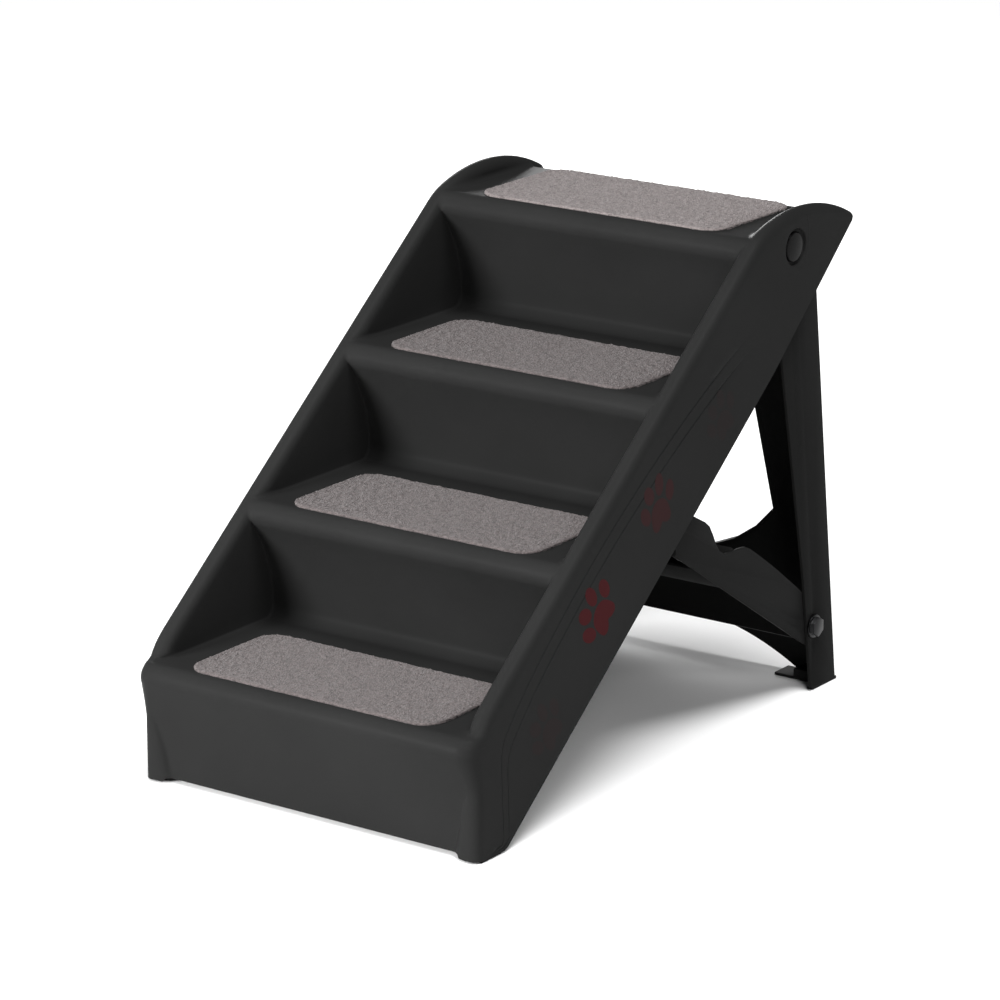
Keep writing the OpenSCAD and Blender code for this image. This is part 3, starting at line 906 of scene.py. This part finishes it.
@dataclass
class MouldedShell:
    """The stair shell's skin as one grid: rows follow the steps from the floor to the tip, and each row is a
    section across the whole width, from one panel's lower edge over both rails to the other's."""

    sizes: StairSizes = field(default_factory=StairSizes)
    fillet: float = 0.003
    nose_flare: float = 0.011
    flare_reach: float = 0.013
    nose_corner: float = 0.018
    post_flare: float = 0.010
    post_rise: float = 0.092
    thickness: float = 0.0024
    groove_depth: float = 0.0009
    groove_half: float = 0.0011
    groove_start: float = 0.019
    groove_gap: float = 0.0145
    groove_sag: float = 0.33
    groove_sag_from: float = 0.17
    groove_sweep: float = 0.071
    groove_sweep_from: float = -0.074
    groove_sweep_reach: float = 0.068
    groove_end: float = 0.50
    groove_fade: float = 0.06
    groove_shares: tuple[float, float] = (0.02, 0.86)
    second_shares: tuple[float, float] = (0.05, 0.93)
    half_share: float = 0.02
    short_panel: float = 0.03
    short_start: float = 0.6
    post_share: float = 2.4
    level_share: float = 0.999
    middle_half: float = 0.05
    crease: float = 40.0
    proud_reach: float = 0.012
    riser_rows: int = 13
    nose_rows: int = 20
    tread_rows: int = 13
    corner_rows: int = 8
    platform_rows: int = 22
    lip_rows: int = 6
    tail_rows: int = 8
    tip_rows: int = 7
    tip_turn: float = 78.0
    tip_past: float = 1.12
    centre_columns: int = 9
    fillet_columns: int = 6
    wall_columns: int = 5
    rail_columns: int = 8
    panel_columns: int = 5
    lower_columns: int = 8

    @property
    def lower_shares(self) -> np.ndarray:
        """Places of the columns below the second groove, as shares of the way down."""
        return np.linspace(0, 1, self.lower_columns + 1)[None, 1:]

    def step_line(self) -> np.ndarray:
        """Side outline of the steps: for each step a concave riser, a convex nose, a tread and a corner."""
        s = self.sizes
        parts = []
        for k in range(s.steps):
            setback = s.front_setback if k == 0 else s.riser_setback
            drop = (s.first_tread - s.riser_gap) if k == 0 else (s.rise - s.corner_r)
            lean = 2 * math.degrees(math.atan2(setback, drop - s.nose_r))
            radius = (drop - s.nose_r) / math.sin(math.radians(lean)) - s.nose_r
            top = s.tread_z(k)
            parts.append(arc([s.run * k + setback - radius, top - drop], radius, 0, lean,
                             self.riser_rows))
            nose = arc([s.run * k + s.nose_r, top - s.nose_r], s.nose_r, 180 + lean, 90, self.nose_rows)
            parts.append(nose[1:])
            if k < s.steps - 1:
                back = np.array([s.run * (k + 1) + s.riser_setback - s.corner_r, top])
                parts.append(line(nose[-1], back, self.tread_rows))
                parts.append(arc(back + [0, s.corner_r], s.corner_r, -90, 0, self.corner_rows)[:-1])
            else:
                edge = np.array([s.last_nose + s.platform_len, top])
                parts.append(line(nose[-1], edge - [s.lip_r, 0], self.platform_rows))
                parts.append(arc(edge - s.lip_r, s.lip_r, 90, 0, self.lip_rows))
                parts.append(line(edge - [0, s.lip_r], edge - [0, s.lip_drop], 1))
                parts.append((edge - [0, s.lip_drop])[None])
        return np.concatenate(parts)

    def rows(self) -> dict[str, np.ndarray]:
        """The rail's ridge opposite each point of the step line.

        A row is a ray that leaves the ridge squarely: level at the post, across the slope on the slope, and
        towards the bend's centre in a bend. Its depth is the distance from the ridge to the step line.

        The last rows sink over the tip's small radius by the circle's sagitta.

        Returns:
            By name: ridge (n, 2), inward (n, 2), depth (n,), drop (n,), u or place along the slope (n,), and
            last, the number of the lip's last row.
        """
        s = self.sizes
        q = self.step_line()
        lip_end = len(q) - 1
        centre = s.crest_centre
        turn = np.radians(np.linspace(0, self.tip_turn, self.tip_rows + 1)[1:])
        bend = math.radians(s.tip_angle) + self.tip_past * s.tip_round / s.crest_r
        angles = np.linspace(np.arctan2(*(q[-1] - centre)[::-1]), bend, self.tail_rows + 1)[1:]
        angles = np.concatenate([angles, bend - s.tip_round / s.crest_r * np.sin(turn)])
        drop = np.concatenate([np.zeros(len(q) + self.tail_rows), s.tip_round * (1 - np.cos(turn))])
        reach = (q[-1, 0] - centre[0]) / np.cos(angles)
        q = np.concatenate([q, centre + reach[:, None] * direction(angles)])
        ridge, inward, depth = np.zeros_like(q), np.zeros_like(q), np.zeros(len(q))
        start = np.array([s.nose_line_y, s.ridge_z])
        u = (q - start) @ s.along
        u_start = (s.front_centre + s.front_bend * direction(math.pi / 2 + s.slope) - start) @ s.along
        u_end = (s.shoulder_centre + s.shoulder_bend * direction(math.pi / 2 + s.slope) - start) @ s.along
        post = (q[:, 1] <= s.front_centre[1]) & (q[:, 0] < s.front_centre[0])
        front = ~post & (u < u_start)
        slope = ~post & (u >= u_start) & (u <= u_end)
        turned = np.arctan2(q[:, 1] - centre[1], q[:, 0] - centre[0])
        crest = ~slope & ~front & ~post & (turned <= s.shoulder_angle)
        shoulder = ~slope & ~front & ~post & ~crest
        ridge[post] = np.stack([np.full(post.sum(), s.panel_front), q[post, 1]], axis=-1)
        inward[post] = (1, 0)
        depth[post] = q[post, 0] - s.panel_front
        ridge[slope] = start + u[slope, None] * s.along
        inward[slope] = s.inward
        depth[slope] = ((q - start) @ s.inward)[slope]
        for chosen, middle, radius in ((front, s.front_centre, s.front_bend),
                                       (shoulder, s.shoulder_centre, s.shoulder_bend),
                                       (crest, centre, s.crest_r)):
            away = q[chosen] - middle
            far = np.linalg.norm(away, axis=1)
            inward[chosen] = -away / far[:, None]
            ridge[chosen] = middle - radius * inward[chosen]
            depth[chosen] = radius - far
        return {"ridge": ridge, "inward": inward, "depth": depth, "drop": drop, "last": lip_end, "u": u}

    def outline(self, rows: dict[str, np.ndarray]) -> tuple[np.ndarray, np.ndarray]:
        """Where each row ends on the panel's outline, and how deep the cut behind the tip lets it go.

        A row on the slope ends at the panel's depth, and the last rows end at the cut. The rows between share
        out the outline's straight stretches by their distance along the ridge.

        Args:
            rows: what rows() gives.

        Returns:
            The outline's point of each row (n, 2), and the depth along the row to the tail cut (n,).
        """
        s = self.sizes
        ridge, inward = rows["ridge"], rows["inward"]
        knee = s.lower_edge(s.knee_y)
        tail = s.tip - knee
        square = np.array([tail[1], -tail[0]])
        facing = inward @ square
        allowed = np.full(len(ridge), 1.0)
        near = np.abs(facing) > TINY
        hit = ((knee - ridge) @ square)[near] / facing[near]
        allowed[near] = np.where(hit > -SMALL, np.maximum(hit, 0), 1.0)
        across = s.panel_depth + s.rail_lift * math.cos(s.slope)
        feet = ridge + inward * np.minimum(across, allowed)[:, None]
        run = np.concatenate([[0], np.cumsum(np.linalg.norm(np.diff(ridge, axis=0), axis=1))])
        on_slope = np.abs(inward @ s.inward - 1) < TINY
        first, last = np.argmax(on_slope), len(ridge) - 1 - np.argmax(on_slope[::-1])
        tail_cut = ridge + inward * allowed[:, None]
        end = int(np.argmax((allowed < s.rail_r) & (np.arange(len(ridge)) > last)))
        low = [np.array([s.panel_front + s.rail_r, s.sole_t]), np.array([s.heel_y, s.sole_t]), feet[first]]
        high = [feet[last], tail_cut[end]]
        feet[end:] = tail_cut[end:]
        for chosen, chain in ((slice(0, first), low), (slice(last, end), high)):
            chain = np.array(chain)
            legs = np.concatenate([[0], np.cumsum(np.linalg.norm(np.diff(chain, axis=0), axis=1))])
            here = run[chosen]
            top = run[first] if chosen.start == 0 else run[end]
            base = 0.0 if chosen.start == 0 else run[last]
            share = (here - base) / max(top - base, TINY) * legs[-1]
            feet[chosen] = np.stack([np.interp(share, legs, chain[:, k]) for k in range(2)], -1)
        return feet, allowed

    def groove(self, u: np.ndarray) -> np.ndarray:
        """Distance of the panel's upper groove from the ridge.

        Args:
            u: places along the slope, (n,).

        Returns:
            A start, plus a sag that grows with the square of the place, plus a sweep down at the front that
            falls off exponentially, (n,).
        """
        sag = self.groove_sag * np.maximum(u - self.groove_sag_from, 0) ** 2
        sweep = self.groove_sweep * np.exp(-(u - self.groove_sweep_from) / self.groove_sweep_reach)
        return self.groove_start + sag + sweep

    def section(self, rows: dict[str, np.ndarray]) -> tuple[np.ndarray, np.ndarray]:
        """Half sections as (x, depth) for every row, from the middle to where the outer skin starts.

        A flat stretch at the step's depth, a fillet, a wall, the rail's inner quarter and its outer quarter.
        Where the fillet is deeper than the wall is high it touches the rail's circle instead, and where a
        nose stands proud of the ridge the flat turns over a round corner.

        Args:
            rows: what rows() gives.

        Returns:
            x (n, columns) and depth (n, columns).
        """
        s = self.sizes
        w = rows["depth"][:, None]
        r = s.rail_r
        axis = s.half_w - r
        on_post = (rows["inward"][:, 0] > self.level_share)[:, None]
        f = self.fillet + np.where(on_post, 0, self.nose_flare) * np.exp(-((w / self.flare_reach) ** 2))
        above = np.maximum(w, 0)
        touch = np.arccos(np.clip((r + f - above) / (r + f), 0, 1))
        walled = above - f >= r
        touch = np.where(walled, np.pi / 2, touch)
        x_flat = axis - (r + f) * np.sin(touch)
        share = np.linspace(0, 1, self.centre_columns + 1)[None]
        flat_x, flat_d = x_flat * share, above + 0 * share
        turn = np.linspace(0, 1, self.fillet_columns + 1)[None, 1:] * touch
        fillet_x, fillet_d = x_flat + f * np.sin(turn), above - f + f * np.cos(turn)
        fall = np.linspace(0, 1, self.wall_columns + 1)[None, 1:]
        bottom, upper = fillet_d[:, -1:], r - r * np.cos(touch)
        wall_x = (axis - r * np.sin(touch)) + 0 * fall
        wall_d = bottom + (upper - bottom) * fall
        back = np.linspace(1, 0, self.rail_columns + 1)[None, 1:] * touch
        inner_x, inner_d = axis - r * np.sin(back), r - r * np.cos(back)
        over = np.linspace(0, 1, self.rail_columns + 1)[None, 1:] * (np.pi / 2)
        outer_x, outer_d = axis + r * np.sin(over) + 0 * w, r - r * np.cos(over) + 0 * w
        x = np.concatenate([flat_x, fillet_x, wall_x, inner_x, outer_x], axis=1)
        depth = np.concatenate([flat_d, fillet_d, wall_d, inner_d, outer_d], axis=1)
        proud = np.maximum(-w, 0)
        round_r = r + (self.nose_corner - r) * np.minimum(proud / self.proud_reach, 1)
        edge = s.half_w - round_r
        count = x.shape[1] - self.rail_columns
        still = np.minimum(np.arange(count) / self.centre_columns, 1)[None]
        proud_x = np.concatenate([edge * still, edge + round_r * np.sin(over)], axis=1)
        proud_d = np.concatenate([-proud + 0 * still, -proud + round_r - round_r * np.cos(over)], axis=1)
        x = np.where(w < 0, proud_x, x)
        depth = np.where(w < 0, proud_d, depth)
        height = rows["ridge"][:, 1:2]
        spread = self.post_flare * np.clip(1 - (height - s.sole_t) / self.post_rise, 0, 1) ** 2
        inner = np.clip((axis - x) / r, 0, 1)
        x = x - np.where(on_post & (w > -1), spread * inner * np.minimum(x / (axis - r), 1), 0)
        return x, depth

    def trimmed(self, x: np.ndarray, depth: np.ndarray, drop: np.ndarray,
                allowed: np.ndarray) -> tuple[np.ndarray, np.ndarray]:
        """Sinks the tip's rows and ends each row at the cut behind the tip.

        A point beyond the cut moves back to it along the rail's circle: x is the rail's axis plus or minus
        the circle's half chord at that depth.

        Args:
            x: distance of every point from the middle plane, (n, columns).
            depth: depth of every point below the ridge, (n, columns).
            drop: how far each row sinks, (n,).
            allowed: depth of the cut along each row, (n,).

        Returns:
            x and depth of every point, (n, columns) each.
        """
        s = self.sizes
        axis = s.half_w - s.rail_r
        sunk = np.minimum(depth + drop[:, None], allowed[:, None])
        free = np.clip((sunk - drop[:, None]) / s.rail_r, 0, 1)
        chord = s.rail_r * np.sqrt(1 - (1 - free) ** 2)
        cut = (depth + drop[:, None] > allowed[:, None]) & (x > axis - s.rail_r - SMALL)
        return np.where(cut, axis + np.sign(x - axis) * chord, x), sunk

    def surface(self) -> tuple[np.ndarray, np.ndarray]:
        """The whole outer surface.

        Each point is the row's ridge plus its inward direction times the depth, and the outer panel runs
        straight from the rail to the outline, dented by two grooves.

        Returns:
            points (n, 3) in the row frame, and quads (m, 4).
        """
        s = self.sizes
        rows = self.rows()
        feet, allowed = self.outline(rows)
        x, depth = self.trimmed(*self.section(rows), rows["drop"], allowed)
        side = rows["ridge"][:, None] + rows["inward"][:, None] * depth[..., None]
        start = side[:, -1]
        length = np.linalg.norm(feet - start, axis=1)
        span = np.maximum(length, SMALL)
        first = np.clip((self.groove(rows["u"]) - depth[:, -1]) / span, *self.groove_shares)
        second = np.clip(first + self.groove_gap / span, *self.second_shares)
        half = np.minimum(self.groove_half / span, self.half_share)
        plain = np.linspace(0, 1, self.panel_columns + 1)[None, 1:-1]
        stops, dents = [], []
        previous = np.zeros(len(length))
        for groove in (first, second):
            stops += [previous[:, None] + (groove - half - previous)[:, None] * plain]
            dents += [0 * stops[-1]]
            for shift, dent in GROOVE_PROFILE:
                stops += [(groove + half * shift)[:, None]]
                dents += [np.full((len(length), 1), dent)]
            previous = groove + half
        stops += [previous[:, None] + (1 - previous)[:, None] * self.lower_shares]
        dents += [0 * stops[-1]]
        stop, dent = np.concatenate(stops, axis=1), np.concatenate(dents, axis=1)
        fade = np.clip((self.groove_end - rows["u"]) / self.groove_fade, 0, 1)
        fade = fade * np.clip(length / self.short_panel - self.short_start, 0, 1)
        panel = start[:, None] + (feet - start)[:, None] * stop[..., None]
        panel_x = x[:, -1:] - self.groove_depth * dent * fade[:, None]
        side = np.concatenate([side, panel], axis=1)
        x = np.concatenate([x, panel_x], axis=1)
        half_points = np.concatenate([x[..., None], side - [s.middle, 0]], axis=-1)
        mirrored = half_points[:, :0:-1] * [-1, 1, 1]
        points = np.concatenate([mirrored, half_points], axis=1)
        count, columns = points.shape[:2]
        on_post = np.abs(points[0, :, 0]) > s.half_w - self.post_share * s.rail_r
        points[0, on_post, 2] = s.sole_t
        quads = grid_faces(count, columns)
        middle = (columns - 1) // 2
        row, column = quads[:, 0] // columns, quads[:, 0] % columns
        reach = self.centre_columns + self.fillet_columns
        beyond = (row >= rows["last"]) & (column >= middle - reach) & (column < middle + reach)
        return points.reshape(-1, 3), quads[~beyond]

    def build(self) -> bpy.types.Object:
        """The skin with its wall thickness and hinge openings."""
        points, quads = self.surface()
        skin = mesh_object("shell_skin", points, quads)
        clean(skin)
        top = max(skin.data.polygons, key=lambda p: p.center.z if abs(p.center.x) < self.middle_half else -1)
        if top.normal.z < 0:
            skin.data.flip_normals()
        wall = skin.modifiers.new("wall", "SOLIDIFY")
        wall.thickness = self.thickness
        wall.offset = -1
        wall.use_even_offset = False
        bake(skin)
        clean(skin, 2 * MERGE_FINE)
        seat, tab = HingeSeat(self.sizes), PegTab(self.sizes)
        combine(skin, joined([seat.added(side) for side in Side]), "UNION")
        combine(skin, joined([tab.build(side) for side in Side]), "UNION")
        combine(skin, joined([seat.bead(side) for side in Side]), "UNION")
        combine(skin, joined([seat.cut(side) for side in Side]), "DIFFERENCE")
        sharpen(skin, self.crease)
        return skin


def aimed(name: str, data: bpy.types.Light | bpy.types.Camera, place: Place,
          target: Place) -> bpy.types.Object:
    """Adds a lamp or a camera that looks from one place to another.

    Args:
        name: object name.
        data: the lamp or the camera.
        place: where it stands.
        target: what it looks at.

    Returns:
        The new object.
    """
    made = bpy.data.objects.new(name, data)
    made.location = place
    made.rotation_mode = "QUATERNION"
    made.rotation_quaternion = (Vector(target) - Vector(place)).to_track_quat("-Z", "Y")
    bpy.context.scene.collection.objects.link(made)
    return made


@dataclass(frozen=True)
class Softbox:
    """A lamp with a rectangular face: its place, its width and height in metres, and its power in watts."""

    name: str
    place: Place
    wide: float
    high: float
    power: float

    def build(self, target: Place) -> None:
        """Adds the lamp.

        Args:
            target: what it looks at.
        """
        data = bpy.data.lights.new(self.name, "AREA")
        data.shape = "RECTANGLE"
        data.size, data.size_y, data.energy = self.wide, self.high, self.power
        aimed(self.name, data, self.place, target)


@dataclass
class Studio:
    """Camera, lights and floor."""

    lens: float = 161.81
    sensor: float = 36.0
    far: float = 60.0
    place: Place = (2.3569, -3.30364, 1.44805)
    target: Place = (0.03914, -0.05812, 0.25044)
    key_from: Place = (0.27, -0.12, 1.0)
    key_strength: float = 3.15
    key_spread: float = 26.0
    aim: Place = (0, 0, 0.25)
    softboxes: tuple[Softbox, ...] = (Softbox("front", (-1.0, -2.6, 0.9), 1.0, 0.8, 142),
                                      Softbox("right", (2.2, -1.7, 1.9), 0.8, 0.8, 34),
                                      Softbox("fill", (-2.3, 2.4, 1.0), 1.2, 1.0, 45))
    world_strength: float = 0.12
    floor_reach: float = 40.0
    floor_white: float = 0.9
    floor_roughness: float = 0.9

    def build(self) -> None:
        """Adds the camera, a broad soft sun, three softboxes, a pale world and a pale floor."""
        camera = bpy.data.cameras.new("camera")
        camera.lens, camera.sensor_width, camera.clip_end = self.lens, self.sensor, self.far
        bpy.context.scene.camera = aimed("camera", camera, self.place, self.target)
        sun = bpy.data.lights.new("key", "SUN")
        sun.energy, sun.angle = self.key_strength, math.radians(self.key_spread)
        aimed("key", sun, (0, 0, 0), tuple(-part for part in self.key_from))
        for softbox in self.softboxes:
            softbox.build(self.aim)
        world = bpy.data.worlds.new("studio")
        bpy.context.scene.world = world
        world.use_nodes = True
        background = world.node_tree.nodes["Background"]
        background.inputs["Color"].default_value = (1, 1, 1, 1)
        background.inputs["Strength"].default_value = self.world_strength
        corners = self.floor_reach * np.array([[-1, -1, 0], [1, -1, 0], [1, 1, 0], [-1, 1, 0]])
        floor = mesh_object("floor", corners, np.array([[0, 1, 2, 3]]))
        ground = Recipe("floor")
        ground.shade("Base Color", (self.floor_white, self.floor_white, self.floor_white, 1))
        ground.shade("Roughness", self.floor_roughness)
        dress(floor, ground.material)
        bpy.context.scene.view_settings.view_transform = "Standard"


@dataclass
class TreadMat:
    """A carpet pad: a closed slab with round corners, a pile top and a slightly ragged edge."""

    number: int
    depth: float
    width: float = 0.280
    corner: float = 0.022
    thickness: float = 0.0025
    back: float = 0.013
    pile: float = 0.00035
    ragged: float = 0.00035
    ragged_over: int = 3
    spare: int = 4
    edge_round: float = 0.0022
    edge_share: float = 0.62
    end_share: float = 0.98
    end_power: int = 24
    sunk_share: float = 0.8
    first_seed: int = 40
    columns: int = 170
    lines: int = 78

    def build(self, sizes: StairSizes) -> bpy.types.Object:
        """Makes the pad: columns across, whose half length shrinks in the round corners by the circle.

        Each column's points run from front to back. The top sheet sinks towards the edge like a quarter of a
        circle, and joins the bottom one in a rim.

        Args:
            sizes: the stairs' sizes.

        Returns:
            The closed pad.
        """
        chance = np.random.default_rng(self.first_seed + self.number)
        half, deep = self.width / 2, self.depth / 2
        quarter = np.pi / 2 * self.end_share
        x = half * np.sin(np.linspace(-1, 1, self.columns) * quarter) / math.sin(quarter)
        into = np.maximum(np.abs(x) - (half - self.corner), 0)
        reach = deep - self.corner + np.sqrt(np.maximum(self.corner**2 - into**2, 0))
        window = np.ones(self.ragged_over) / self.ragged_over
        drawn = chance.normal(0, 1, self.columns + 2 * self.spare)
        uneven = np.convolve(drawn, window, "same")[self.spare:-self.spare]
        share = np.linspace(-1, 1, self.lines)
        y = share[None] * (reach + uneven * self.ragged)[:, None]
        xx = x[:, None] + 0 * y
        rough = chance.normal(0, 1, self.lines) * self.ragged
        xx += np.sign(x)[:, None] * rough[None] * (np.abs(x)[:, None] / half) ** self.end_power
        end = np.minimum(reach[:, None] - np.abs(share[None]) * reach[:, None], half - np.abs(x)[:, None])
        soft = np.clip(end / self.edge_round, 0, 1)
        top = self.edge_share + (1 - self.edge_share) * np.sqrt(1 - (1 - soft) ** 2)
        top = self.thickness * top
        top = top + chance.normal(0, 1, top.shape) * self.pile * soft - self.pile * self.sunk_share
        nose = sizes.run * (self.number - 1) + self.back
        middle_y = nose + deep - sizes.middle
        base = sizes.tread_z(self.number - 1)
        upper = np.stack([xx, middle_y + y, base + top], axis=-1)
        lower = np.stack([xx, middle_y + y, base + 0 * top], axis=-1)
        count = self.columns * self.lines
        faces = grid_faces(self.columns, self.lines)
        i = np.arange(self.columns - 1)
        j = np.arange(self.lines - 1)
        last_line, last_column = self.lines - 1, (self.columns - 1) * self.lines
        rim = []
        for a, b in ((i * self.lines, (i + 1) * self.lines),
                     ((i + 1) * self.lines + last_line, i * self.lines + last_line),
                     (j + 1, j), (last_column + j, last_column + j + 1)):
            rim.append(np.stack([a, b, b + count, a + count], axis=-1))
        quads = np.concatenate([faces, faces[:, ::-1] + count, *rim])
        points = np.concatenate([upper.reshape(-1, 3), lower.reshape(-1, 3)])
        pad = mesh_object(f"carpet_pad_{self.number}", points, quads)
        clean(pad, MERGE_FINE, outward=True)
        return pad

    @property
    def flat_area(self) -> float:
        """Area of the cut: a rectangle less its four round corners."""
        return self.width * self.depth - (4 - math.pi) * self.corner**2


FLAT_ANGLE = math.radians(0.8)
BEVEL_ANGLE = math.radians(35)
SOFT_CREASE = 40.0


def softened(node: str, name: str, edge: float, segments: int = 2) -> bpy.types.Object:
    """A copy of a solid with its flat faces joined and its edges rounded.

    Args:
        node: the solid's name.
        name: the new piece's name.
        edge: width of the rounded edges.
        segments: steps across a rounded edge.

    Returns:
        The new object, which stands for the solid.
    """
    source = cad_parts[node]
    copy = bpy.data.objects.new(name, source.data.copy())
    bpy.context.scene.collection.objects.link(copy)
    work = bmesh.new()
    work.from_mesh(copy.data)
    bmesh.ops.remove_doubles(work, verts=work.verts, dist=10 * MERGE_FINE)
    bmesh.ops.dissolve_limit(work, angle_limit=FLAT_ANGLE, verts=work.verts, edges=work.edges)
    work.to_mesh(copy.data)
    work.free()
    bevel = copy.modifiers.new("edges", "BEVEL")
    bevel.width = edge
    bevel.segments = segments
    bevel.limit_method = "ANGLE"
    bevel.angle_limit = BEVEL_ANGLE
    bevel.use_clamp_overlap = True
    bake(copy)
    sharpen(copy, SOFT_CREASE)
    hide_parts(node)
    return copy


def place_piece(obj: bpy.types.Object, body: str, material: bpy.types.Material) -> None:
    """Dresses a piece, lets it ride on its body and reports it.

    Args:
        obj: the piece.
        body: the moving body that carries it.
        material: its finish.
    """
    dress(obj, material)
    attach(obj, body)
    log.info("%s rides on %s, %d faces", obj.name, body, len(obj.data.polygons))


MAT_DEPTH = 0.128
TOP_MAT_DEPTH = 0.137
PAWS = (PawPrint(0.2065, 0.1805, 148, 1.0), PawPrint(0.2985, 0.2545, 113, 0.45, 0.95),
        PawPrint(0.1255, 0.0925, 140, 0.1, 0.9), PawPrint(0.4050, 0.3160, 125, 0.08, 0.85))


@dataclass
class Hardware:
    """Leg frame, brace, bolts, washers, nuts and feet: softened copies of the solids.

    The fields from panel_edge on are the widths of the rounded edges.
    """

    finishes: Finishes
    panel_edge: float = 0.0006
    hinge_head_edge: float = 0.0003
    brace_head_edge: float = 0.0004
    washer_edge: float = 0.00015
    nut_edge: float = 0.0004
    front_foot_edge: float = 0.0005
    rear_foot_edge: float = 0.0006

    def build(self) -> None:
        """Makes every piece: each row names its solid, body, slot, finish and edge."""
        fin, head_edge = self.finishes, self.brace_head_edge
        pieces = [("leg_frame", "leg_frame", "leg_plastic", fin.leg, self.panel_edge),
                  ("support_brace", "support_brace", "brace_plastic", fin.brace, self.panel_edge)]
        for word in [side.word for side in Side]:
            pieces += [(f"hinge_bolt_{word}", "stairs", "steel", fin.steel, self.hinge_head_edge),
                       (f"hinge_washer_{word}", "stairs", "steel", fin.steel, self.washer_edge),
                       (f"hinge_nut_{word}", "stairs", "steel", fin.steel, self.nut_edge),
                       (f"front_foot_{word}", "stairs", "rubber", fin.rubber, self.front_foot_edge),
                       (f"rear_foot_{word}", "leg_frame", "rubber", fin.rubber, self.rear_foot_edge),
                       (f"brace_bolt_{word}", "leg_frame", "dark_steel", fin.dark_steel, head_edge),
                       (f"brace_washer_{word}", "leg_frame", "steel", fin.steel, self.washer_edge),
                       (f"brace_nut_{word}", "leg_frame", "steel", fin.steel, self.nut_edge)]
        for node, body, slot, material, edge in pieces:
            place_piece(softened(node, f"{node}_piece", edge), body, material)


def main() -> None:
    """Builds the studio, then the stairs from the shell to the bolts."""
    logging.basicConfig(level=logging.INFO)
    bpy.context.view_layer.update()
    Studio().build()
    sizes = StairSizes()
    finishes = Finishes()
    skin = MouldedShell(sizes).build()
    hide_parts("stair_shell")
    place_piece(skin, "stairs", finishes.shell)
    for number in range(1, sizes.steps + 1):
        on_top = number == sizes.steps
        mat = TreadMat(number, TOP_MAT_DEPTH if on_top else MAT_DEPTH)
        pad = mat.build(sizes)
        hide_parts(f"tread_mat_{number}")
        # The top mat takes the lighter carpet copy, whose extra brightness is painted light
        place_piece(pad, "stairs", finishes.top_carpet_painted_light if on_top else finishes.carpet)
    for print_ in PAWS:
        ink = finishes.ink(print_.strength)
        for side in Side:
            print_.build(sizes, side, ink)
    for side in Side:
        HingeCap(HingeSeat(sizes)).build(side, finishes.cap)
    Hardware(finishes).build()


if __name__ == "__main__":
    main()
